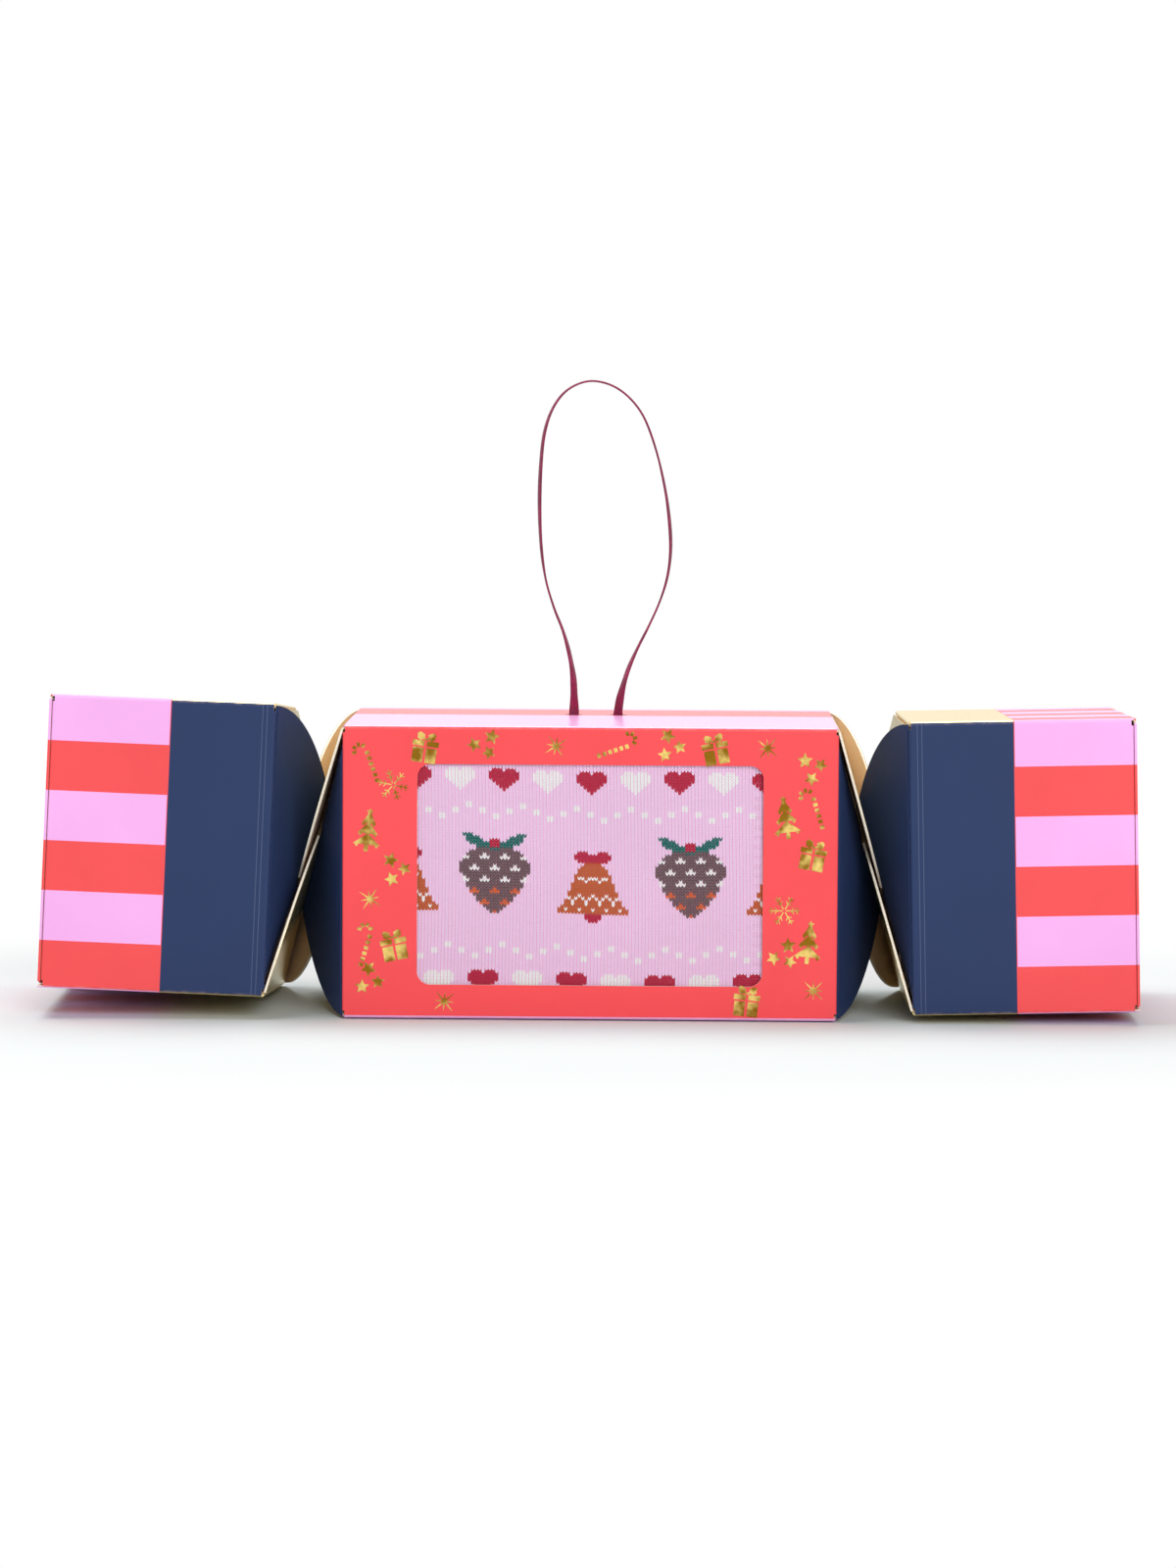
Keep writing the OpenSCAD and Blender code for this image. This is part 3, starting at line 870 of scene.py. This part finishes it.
def folded_sock(name, setback):
    """A sock folded flat: two layers with a groove between them and slightly uneven faces."""
    low, high = (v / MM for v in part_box(name))
    clear()
    bpy.ops.mesh.primitive_cube_add(size=1, location=((low + high) / 2 * MM))
    sock = named(name + "_cloth")
    depth = high.y - low.y - 0.1 - setback
    sock.scale = ((high.x - low.x) * MM, depth * MM, (high.z - low.z) * MM)
    sock.location.y += setback / 2 * MM
    settle(sock)
    edit(sock)
    pick(sock, lambda e: abs((e.verts[0].co - e.verts[1].co).normalized().y) > 0.9, "edges")
    bpy.ops.mesh.bevel(offset=SOCK_CORNER * MM, segments=5, affect="EDGES")
    pick(sock, lambda e: sum(abs(face.normal.y) > 0.9 for face in e.link_faces) == 1, "edges")
    bpy.ops.mesh.bevel(offset=SOCK_RIM * MM, segments=3, affect="EDGES")
    pick(sock, lambda face: abs(face.normal.y) > 0.99 and len(face.verts) > 4)
    bpy.ops.mesh.inset(thickness=2.5 * MM)
    bpy.ops.mesh.inset(thickness=3 * MM)
    for _ in range(2):
        bpy.ops.mesh.extrude_region_move()
        bpy.ops.transform.resize(value=(0.65, 1, 0.65), center_override=(low + high) / 2 * MM)
    middle = (low.y + high.y) / 2 + setback / 2
    for at in (middle - LAYER_EDGE, middle, middle + LAYER_EDGE):
        bpy.ops.mesh.select_all(action="SELECT")
        bpy.ops.mesh.bisect(plane_co=(0, at * MM, 0), plane_no=(0, 1, 0))
    mesh = bmesh.from_edit_mesh(sock.data)
    centre = Vector((0, 0, (low.z + high.z) / 2 * MM))
    for v in mesh.verts:
        if abs(v.co.y - middle * MM) < 0.02 * MM:
            inward = Vector((centre.x - v.co.x, 0, centre.z - v.co.z))
            inward.x = math.copysign(min(abs(inward.x), 20 * MM), inward.x)
            v.co += inward.normalized() * LAYER_DIP * MM
    bmesh.update_edit_mesh(sock.data)
    apply(sock, "SUBSURF", levels=2, render_levels=2)
    for v in sock.data.vertices:
        x, z = v.co.x / MM, v.co.z / MM
        near = 1 - min(1, max(abs(x) / 53, abs(z - 35) / 32.5)) ** 6
        v.co.y += math.copysign(0.18, middle * MM - v.co.y) * near * MM * (
            0.5 + 0.5 * math.sin(x / 7) * math.sin(z / 6))
    for face in sock.data.polygons:
        face.use_smooth = True
    sock_knit().done(sock)
    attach(sock, "centre_box")
    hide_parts(name)


folded_sock("sock_front", 0.3)
folded_sock("sock_rear", 0.0)
add_knit()


# Gold foil ornaments. Parts that overlap differ a little in thickness, so that no two of
# their faces share a plane.
FOIL_T = 0.05
FOIL_STEP = 0.002


def raise_foil(obj, thick):
    """Gives a flat outline, drawn in x and z, its thickness."""
    settle(obj)
    edit(obj)
    bpy.ops.mesh.select_all(action="SELECT")
    bpy.ops.mesh.remove_doubles(threshold=0.0001)
    bpy.ops.mesh.extrude_region_move(TRANSFORM_OT_translate={"value": (0, -thick, 0)})
    bpy.ops.mesh.select_all(action="SELECT")
    bpy.ops.mesh.normals_make_consistent(inside=False)
    clear()
    return obj


def disc(sides, radius, x=0.0, z=0.0, turn=0.0):
    """A flat many-sided face that looks to -Y, drawn in millimetres."""
    clear()
    bpy.ops.mesh.primitive_circle_add(vertices=sides, radius=radius, fill_type="NGON",
                                      location=(x, 0, z), rotation=(math.pi / 2, 0, 0))
    made = named("disc")
    settle(made)
    if turn:
        made.rotation_euler = (0, turn, 0)
        made.location = Vector((x, 0, z)) - Matrix.Rotation(turn, 3, "Y") @ Vector((x, 0, z))
        settle(made)
    return made


def strip(x0, z0, x1, z1, wide, wide_end=None):
    """A flat bar from one point to another."""
    clear()
    bpy.ops.mesh.primitive_plane_add(size=1, rotation=(math.pi / 2, 0, 0))
    made = named("strip")
    settle(made)
    wide_end = wide if wide_end is None else wide_end
    way = Vector((x1 - x0, 0, z1 - z0))
    side = Vector((-way.z, 0, way.x)).normalized()
    for v in made.data.vertices:
        far = v.co.x > 0
        base = Vector((x1, 0, z1)) if far else Vector((x0, 0, z0))
        v.co = base + side * (wide_end if far else wide) * v.co.z
    return made


def star(points, radius, waist, x=0.0, z=0.0, turn=0.0):
    """A star: a ring of corners with every second one drawn in."""
    made = disc(2 * points, radius, x, z, turn)
    edit(made)
    centre = Vector((x, 0, z))
    first = [v.co.copy() for v in bmesh.from_edit_mesh(made.data).verts][::2]
    pick(made, lambda v: not any((v.co - p).length < 1e-5 for p in first), "verts")
    bpy.ops.transform.resize(value=(waist, waist, waist), center_override=centre)
    clear()
    return made


def motif_stars():
    return [star(5, 1.55, 0.45, -0.9, 1.9, 0.3), star(5, 1.35, 0.45, 1.7, 0.3, -0.4),
            star(5, 1.45, 0.45, -0.7, -1.7, 0.9)]


def motif_tree():
    parts = [star(5, 0.75, 0.42, 0, 4.1)]
    for level, wide in ((2.2, 1.35), (0.3, 1.95), (-1.8, 2.6)):
        parts.append(strip(0, level + 1.7, 0, level - 0.35, 0.25, 2 * wide))
        for k in range(-1, 2):
            parts.append(disc(8, 0.28, k * wide * 0.72, level - 0.55))
    parts.append(strip(0, -2.3, 0, -3.4, 0.8))
    return parts


def motif_gift():
    parts = []
    for sx in (-1, 1):
        parts += [strip(sx * 0.22, -0.9, sx * 2.1, -0.9, 2.6), strip(
            sx * 0.22, 1.15, sx * 2.3, 1.15, 0.95),
            star(6, 0.75, 0.8, sx * 0.95, 2.35), strip(0, 1.75, sx * 1.5, 2.9, 0.25, 0.7)]
    return parts


def motif_snowflake():
    parts = []
    for k in range(6):
        a = math.pi * k / 3
        c, s = math.cos(a), math.sin(a)
        parts.append(strip(0.35 * c, 0.35 * s, 3.3 * c, 3.3 * s, 0.24))
        for at in (1.5, 2.4):
            for b in (a + 0.9, a - 0.9):
                parts.append(strip(at * c, at * s, at * c + 0.85 * math.cos(b),
                                   at * s + 0.85 * math.sin(b), 0.2))
    return parts


def motif_burst():
    parts = []
    for k in range(8):
        a = math.pi * k / 4 + 0.2
        long = 2.9 if k % 2 else 2.1
        parts.append(strip(0.3 * math.cos(a), 0.3 * math.sin(a), long * math.cos(a),
                           long * math.sin(a), 0.5, 0.08))
    return parts + [disc(10, 0.45)]


def motif_cane():
    """A hooked stick cut into slanting bands."""
    parts = []
    for k in range(6):
        z = -4.1 + 1.15 * k
        parts.append(strip(0.75, z, 0.75, z + 0.7, 0.85))
    for k in range(4):
        a = math.pi * (0.12 + 0.27 * k)
        b = a + 0.5
        parts.append(strip(-0.45 + 1.2 * math.cos(a), 2.9 + 1.2 * math.sin(a),
                           -0.45 + 1.2 * math.cos(b), 2.9 + 1.2 * math.sin(b), 0.85))
    return parts


# x, z and turn of each ornament on the front, and on the back as seen from behind
FRONT_LAY = {
    "stars": ((-54, 9.5, 0.4), (-47.6, 36.5, 0), (-26, 67.4, 1.2), (19.5, 67.2, 0.2),
              (54.2, 62, -0.3), (47.4, 16.2, 0.9)),
    "tree": ((-54.4, 45.5, 0.12), (47.9, 49.2, -0.15), (53.6, 18.6, 0.1)),
    "gift": ((-47.8, 17.4, -0.2), (-40.5, 66, 0.15), (30.6, 66, -0.2), (54.4, 40.2, 0.18),
             (38.5, 4.2, 0.1)),
    "snowflake": ((-48.2, 57.4, 0.2), (47.6, 27.2, 0)),
    "burst": ((-53.8, 29.4, 0), (-8.5, 67.2, 0.4), (43.2, 67, 0.1), (-35.5, 4.3, 0.3),
              (54.9, 7.6, 0.2)),
    "cane": ((-54.6, 62.6, -0.35), (6.2, 67.3, 1.25), (54.4, 52, -0.3), (-55.5, 18, 0.3)),
}


def back_lay():
    """The same ornaments scattered over the unbroken back, row by row."""
    kinds = ("stars", "gift", "burst", "tree", "cane", "snowflake")
    lay = {kind: [] for kind in kinds}
    count = 0
    for row in range(5):
        for col in range(7):
            x = -51 + 17 * col + (8 if row % 2 else 0) + 1.5 * math.sin(3 * row + 5 * col)
            z = 8 + 14 * row + 1.2 * math.sin(2 + 4 * row + 3 * col)
            if abs(x) < 55:
                lay[kinds[count % 6]].append((x, z, 0.5 * math.sin(7 * count)))
            count += 1
        count += 2
    return lay


def foil():
    """Stamped foil: a mirror with slight ripples, and painted reflections: dark and bright patches
    in its colour.
    """
    f = Finish("gold_foil", 0.24, 1.0)
    f.place()
    patches = f.noise(0.22, 2.0)
    grain = f.noise(6.0, 3.0, 0.6)
    # Painted reflections: dark olive-brown and bright gold patches in the foil's colour stand in
    # for what the foil mirrors; a fine grain varies the bright gold.
    f.colour(f.mix(f.soft(patches, 0.38, 0.62), srgb(146, 104, 26), f.mix(
        f.span(grain, 0.3, 0.7, 0.0, 1.0), srgb(226, 184, 84), srgb(250, 222, 140))))
    f.bump(f.noise(1.2, 2.0), 0.12, 0.5)
    return f


def add_foil():
    """Each ornament is drawn once at its size and laid out on the front and the back."""
    motifs = {"stars": (motif_stars, 1.3), "tree": (motif_tree, 1.3), "gift": (motif_gift, 1.4),
              "snowflake": (motif_snowflake, 1.15), "burst": (motif_burst, 1.05),
              "cane": (motif_cane, 1.25)}
    gold = foil()
    backs = back_lay()
    for kind, (draw, size) in motifs.items():
        raised = join("foil_" + kind, *(raise_foil(part, FOIL_T + FOIL_STEP * k)
                                        for k, part in enumerate(draw())))
        points, faces = arrays(raised)
        shape = points * (size, 1, size), faces
        drop(raised)
        for lay, place_name in ((FRONT_LAY[kind], "front"), (backs[kind], "back")):
            places = []
            for x, z, turn in lay:
                spot = Matrix.Translation((x, -SIDE / 2 + 0.01, z)) @ Matrix.Rotation(
                    turn, 4, "Y")
                if place_name == "back":
                    spot = Matrix.Rotation(math.pi, 4, "Z") @ spot
                places.append([[v * MM for v in row] for row in spot][:3])
            piece = spread("foil_%s_%s" % (kind, place_name), shape, places, False)
            gold.done(piece)
            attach(piece, "centre_box")


add_foil()


# Floor and light
FLOOR_SIZE, FLOOR_DROP = 16, 0.0003
FADE_X, FADE_Y = 210.0, 120.0


def add_stage():
    """A pale floor that takes the shadows near the object and fades to white away from it."""
    clear()
    bpy.ops.mesh.primitive_plane_add(size=FLOOR_SIZE, location=(0, 0, -FLOOR_DROP))
    floor = named("floor")
    f = Finish("floor_paper", 0.9)
    f.colour((0.70, 0.745, 0.738, 1))
    f.set("Specular IOR Level", 0.0)
    x, y, z = f.place()
    across, deep = f.calc("DIVIDE", x, FADE_X), f.calc("DIVIDE", y, FADE_Y)
    away = f.calc("SQRT", f.calc("ADD", f.both(across, across), f.both(deep, deep)))
    rays = f.node("ShaderNodeLightPath")
    glow = f.node("ShaderNodeEmission")
    fade = f.node("ShaderNodeMixShader")
    f.link(f.soft(away, 0.85, 1.5), fade.inputs[0])
    f.link(f.shader.outputs[0], fade.inputs[1])
    f.link(glow.outputs[0], fade.inputs[2])
    seen = f.node("ShaderNodeMixShader")
    f.link(rays.outputs["Is Camera Ray"], seen.inputs[0])
    f.link(f.shader.outputs[0], seen.inputs[1])
    f.link(fade.outputs[0], seen.inputs[2])
    f.link(seen.outputs[0], f.tree.nodes["Material Output"].inputs["Surface"])
    f.done(floor)


WORLD_LIGHT = 0.36


def add_world():
    """White to the camera and in mirrors and glass, and a dimmer light on everything else."""
    world = bpy.data.worlds.new("studio")
    scene.world = world
    world.use_nodes = True
    tree = world.node_tree
    back = tree.nodes["Background"]
    back.inputs["Color"].default_value = (1, 1, 1, 1)
    rays = tree.nodes.new("ShaderNodeLightPath")
    seen = rays.outputs["Is Camera Ray"]
    for kind in ("Is Transmission Ray", "Is Glossy Ray"):
        either = tree.nodes.new("ShaderNodeMath")
        either.operation = "MAXIMUM"
        tree.links.new(seen, either.inputs[0])
        tree.links.new(rays.outputs[kind], either.inputs[1])
        seen = either.outputs[0]
    span = tree.nodes.new("ShaderNodeMapRange")
    span.inputs[3].default_value = WORLD_LIGHT
    span.inputs[4].default_value = 1.0
    tree.links.new(seen, span.inputs[0])
    tree.links.new(span.outputs[0], back.inputs["Strength"])


def add_lamp(name, place, size, power, aim=(0, 0, 0.04)):
    data = bpy.data.lights.new(name, "AREA")
    data.shape = "RECTANGLE"
    data.size, data.size_y = size
    data.energy = power
    lamp = bpy.data.objects.new(name, data)
    scene.collection.objects.link(lamp)
    lamp.location = place
    lamp.rotation_euler = (Vector(aim) - Vector(place)).to_track_quat("-Z", "Y").to_euler()


add_stage()
add_world()
add_lamp("softbox_top", (-0.2, 0.3, 1.25), (1.2, 0.9), 17)
add_lamp("softbox_front", (0.45, -1.5, 0.7), (1.0, 0.8), 14.5)
scene.view_settings.view_transform = "Standard"
